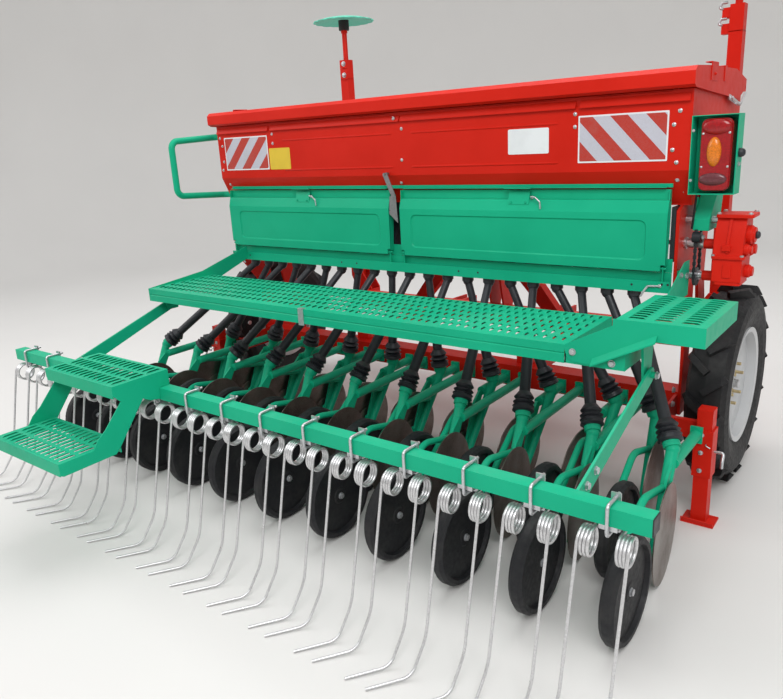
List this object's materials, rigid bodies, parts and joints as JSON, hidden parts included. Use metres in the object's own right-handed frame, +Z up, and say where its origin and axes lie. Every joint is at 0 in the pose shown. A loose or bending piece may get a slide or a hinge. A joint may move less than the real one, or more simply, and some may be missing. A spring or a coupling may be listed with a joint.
{
  "type": "mounted seed drill",
  "caption": "Three-metre mounted seed drill with seed hopper, two ranks of disc coulters, press wheels, spring-tine harrow, walkway, land wheels and folding row markers.",
  "frame": {"origin": "centre of the bounding box in plan, on the ground", "axes": "+X right as seen from behind, +Y forward in travel, +Z up"},
  "size_m": [3.1702, 2.84, 2.2503],
  "materials": {
    "red_paint": "gloss",
    "zinc": "galvanised",
    "black_plastic": "satin",
    "green_paint": "gloss",
    "disc_steel": "worn",
    "tyre": "matte",
    "rim_paint": "silver",
    "lens": "gloss",
    "cable": "matte"
  },
  "bodies": {
    "machine": {"main_frame": "red_paint", "headstock": "red_paint", "link_pins": "zinc", "side_frame_left": "red_paint", "side_frame_right": "red_paint", "stub_axles": "zinc", "hopper_back": "red_paint", "hopper_front": "red_paint", "hopper_end_left": "red_paint", "hopper_end_right": "red_paint", "hopper_floor": "red_paint", "lid_hinges": "red_paint", "seed_units": "black_plastic", "cover_rail": "green_paint", "cover_hinges": "green_paint", "cover_catches": "green_paint", "rate_scale": "zinc", "outlet_rail": "green_paint", "seed_tubes_rear": "black_plastic", "seed_tubes_front": "black_plastic", "coulters_rear": "green_paint", "coulters_front": "green_paint", "discs_rear": "disc_steel", "discs_front": "disc_steel", "walkway": "green_paint", "wing_left": "green_paint", "side_step": "green_paint", "handrail": "green_paint", "harrow_hangers": "green_paint", "stand_sleeves": "red_paint", "gearbox": "red_paint", "drive_shafts": "zinc", "chain_guard": "green_paint", "lamp_box": "green_paint", "lamp": "lens", "lamp_cable": "cable", "marker_brackets": "red_paint"},
    "lid": {"lid": "red_paint"},
    "feed_shaft": {"feed_shaft": "zinc"},
    "cover_left": {"cover_left": "green_paint"},
    "cover_right": {"cover_right": "green_paint"},
    "harrow": {"harrow_beam": "green_paint", "harrow_arms": "green_paint", "tines": "zinc", "tine_clamps": "zinc", "ladder": "green_paint"},
    "wheel_left": {"tyre_left": "tyre", "rim_left": "rim_paint"},
    "wheel_right": {"tyre_right": "tyre", "rim_right": "rim_paint"},
    "press_wheels_rear": {"press_wheels_rear": "black_plastic"},
    "press_wheels_front": {"press_wheels_front": "black_plastic"},
    "stand_left": {"stand_left": "red_paint"},
    "stand_right": {"stand_right": "red_paint"},
    "marker_left": {"marker_arm_left": "red_paint"},
    "marker_right": {"marker_arm_right": "red_paint"},
    "marker_disc_left": {"marker_disc_left": "green_paint"},
    "marker_disc_right": {"marker_disc_right": "green_paint"}
  },
  "joints": [
    {"name": "lid_hinge", "type": "hinge", "parent": "machine", "child": "lid", "pos_m": [0.02515, 0.904, 1.626], "axis": [-1, 0, 0], "range_deg": [0, 85]},
    {"name": "feed_shaft_spin", "type": "hinge", "parent": "machine", "child": "feed_shaft", "pos_m": [0.02515, 0.315, 1.06], "axis": [1, 0, 0], "continuous": true},
    {"name": "cover_left_hinge", "type": "hinge", "parent": "machine", "child": "cover_left", "pos_m": [-0.57485, 0.2, 0.977], "axis": [1, 0, 0], "range_deg": [0, 90]},
    {"name": "cover_right_hinge", "type": "hinge", "parent": "machine", "child": "cover_right", "pos_m": [0.62515, 0.2, 0.977], "axis": [1, 0, 0], "range_deg": [0, 90]},
    {"name": "harrow_lift", "type": "hinge", "parent": "machine", "child": "harrow", "pos_m": [0.02515, -0.37, 0.752], "axis": [-1, 0, 0], "range_deg": [0, 18]},
    {"name": "wheel_left_spin", "type": "hinge", "parent": "machine", "child": "wheel_left", "pos_m": [-1.33885, 0.637, 0.42], "axis": [1, 0, 0], "continuous": true},
    {"name": "wheel_right_spin", "type": "hinge", "parent": "machine", "child": "wheel_right", "pos_m": [1.38915, 0.637, 0.42], "axis": [1, 0, 0], "continuous": true},
    {"name": "press_rear_spin", "type": "hinge", "parent": "machine", "child": "press_wheels_rear", "pos_m": [0.02515, -0.67, 0.17], "axis": [1, 0, 0], "continuous": true},
    {"name": "press_front_spin", "type": "hinge", "parent": "machine", "child": "press_wheels_front", "pos_m": [0.02515, -0.351, 0.17], "axis": [1, 0, 0], "continuous": true},
    {"name": "stand_left_lift", "type": "slide", "parent": "machine", "child": "stand_left", "axis": [0, 0, 1], "range_m": [0, 0.185]},
    {"name": "stand_right_lift", "type": "slide", "parent": "machine", "child": "stand_right", "axis": [0, 0, 1], "range_m": [0, 0.185]},
    {"name": "marker_left_fold", "type": "hinge", "parent": "machine", "child": "marker_left", "pos_m": [-1.13485, 1.23, 0.64], "axis": [0, -1, 0], "range_deg": [0, 104]},
    {"name": "marker_right_fold", "type": "hinge", "parent": "machine", "child": "marker_right", "pos_m": [1.18515, 1.23, 0.64], "axis": [0, 1, 0], "range_deg": [0, 104]},
    {"name": "marker_disc_left_spin", "type": "hinge", "parent": "marker_left", "child": "marker_disc_left", "pos_m": [-1.13485, 1.23, 2.202], "axis": [0, 0, 1], "continuous": true},
    {"name": "marker_disc_right_spin", "type": "hinge", "parent": "marker_right", "child": "marker_disc_right", "pos_m": [1.18515, 1.23, 2.202], "axis": [0, 0, 1], "continuous": true}
  ]
}
